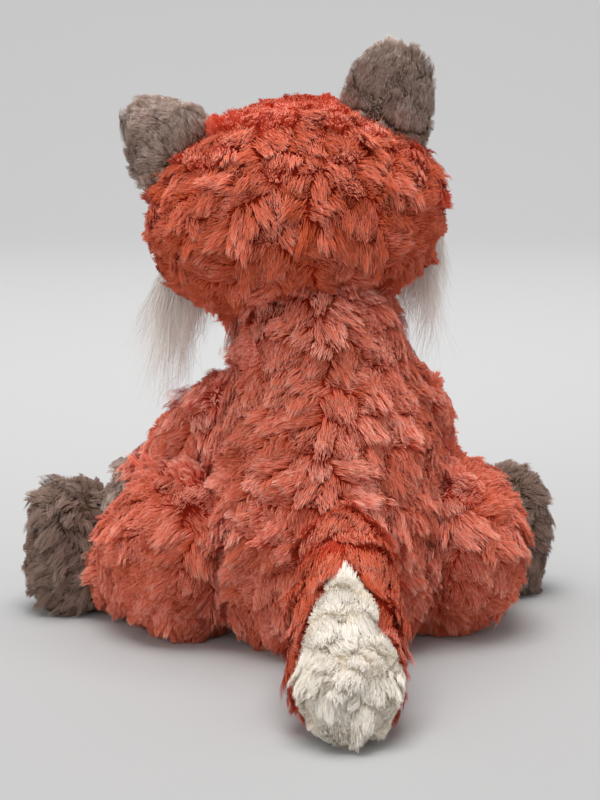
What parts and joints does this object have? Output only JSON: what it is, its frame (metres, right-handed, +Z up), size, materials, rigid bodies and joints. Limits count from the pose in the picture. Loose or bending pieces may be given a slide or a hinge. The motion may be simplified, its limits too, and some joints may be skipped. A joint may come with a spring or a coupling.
{
  "type": "plush fox",
  "caption": "Sitting plush fox: coral pile body, head, limbs and tail, taupe ears, paws and feet, cream tail tip and long white cheek hair; each limb bends at its seam.",
  "frame": {"origin": "middle of the flat under the seat, on the surface that the toy sits on", "axes": "+Z up, the toy looks along -Y, its left hand is on +X, its tail lies back along +Y"},
  "size_m": [0.2452, 0.2523, 0.2626],
  "materials": {
    "coral_pile": "tufted plush pile, matt with a soft sheen",
    "taupe_pile": "shaggy plush pile, matt",
    "cream_pile": "soft plush pile, matt",
    "white_hair": "long straight hair, satin",
    "fibre_filling": "loose polyester fibre",
    "pouch_cloth": "plain woven cloth",
    "pellets": "plastic pellets",
    "bead_plastic": "moulded, polished",
    "washer_plastic": "moulded"
  },
  "bodies": {
    "torso": {"torso_cover": "coral_pile", "torso_filling": "fibre_filling", "pellet_pouch": "pouch_cloth", "pellet_fill": "pellets"},
    "head": {"head_cover": "coral_pile", "head_filling": "fibre_filling", "muzzle_cover": "cream_pile", "muzzle_filling": "fibre_filling", "nose": "bead_plastic", "nose_washer": "washer_plastic", "left_eye": "bead_plastic", "right_eye": "bead_plastic", "left_eye_washer": "washer_plastic", "right_eye_washer": "washer_plastic", "left_cheek_tuft": "white_hair", "right_cheek_tuft": "white_hair"},
    "left_ear": {"left_ear_cover": "taupe_pile", "left_ear_lining": "cream_pile"},
    "right_ear": {"right_ear_cover": "taupe_pile", "right_ear_lining": "cream_pile"},
    "left_arm": {"left_arm_cover": "coral_pile", "left_paw_cover": "taupe_pile", "left_arm_filling": "fibre_filling"},
    "right_arm": {"right_arm_cover": "coral_pile", "right_paw_cover": "taupe_pile", "right_arm_filling": "fibre_filling"},
    "left_leg": {"left_leg_cover": "coral_pile", "left_foot_cover": "taupe_pile", "left_leg_filling": "fibre_filling"},
    "right_leg": {"right_leg_cover": "coral_pile", "right_foot_cover": "taupe_pile", "right_leg_filling": "fibre_filling"},
    "tail": {"tail_cover": "coral_pile", "tail_tip_cover": "cream_pile", "tail_filling": "fibre_filling"}
  },
  "joints": [
    {"name": "head_turn", "type": "hinge", "parent": "torso", "child": "head", "pos_m": [0.0025, 0, 0.1356], "axis": [0, 0, 1], "range_deg": [-30, 30], "stiffness_Nm_per_rad": 0.4},
    {"name": "left_ear_fold", "type": "hinge", "parent": "head", "child": "left_ear", "pos_m": [0.05994, -0.007, 0.21669], "axis": [-0.504, 0, 0.8637], "range_deg": [-15, 15], "stiffness_Nm_per_rad": 0.03},
    {"name": "right_ear_fold", "type": "hinge", "parent": "head", "child": "right_ear", "pos_m": [-0.02468, -0.007, 0.22933], "axis": [-0.9756, -0.004, -0.2194], "range_deg": [-15, 15], "stiffness_Nm_per_rad": 0.03},
    {"name": "left_arm_raise", "type": "hinge", "parent": "torso", "child": "left_arm", "pos_m": [0.04, -0.004, 0.1065], "axis": [-1, 0, 0], "range_deg": [0, 40], "stiffness_Nm_per_rad": 0.1},
    {"name": "right_arm_raise", "type": "hinge", "parent": "torso", "child": "right_arm", "pos_m": [-0.04, -0.004, 0.1065], "axis": [-1, 0, 0], "range_deg": [0, 40], "stiffness_Nm_per_rad": 0.1},
    {"name": "left_leg_splay", "type": "hinge", "parent": "torso", "child": "left_leg", "pos_m": [0.045, 0.002, 0.04], "axis": [0, 0, 1], "range_deg": [-10, 10], "stiffness_Nm_per_rad": 0.3},
    {"name": "right_leg_splay", "type": "hinge", "parent": "torso", "child": "right_leg", "pos_m": [-0.045, 0.002, 0.04], "axis": [0, 0, 1], "range_deg": [-10, 10], "stiffness_Nm_per_rad": 0.3},
    {"name": "tail_wag", "type": "hinge", "parent": "torso", "child": "tail", "pos_m": [-0.0085, 0.046, 0.059], "axis": [0, 0, 1], "range_deg": [-18, 18], "stiffness_Nm_per_rad": 0.2}
  ]
}
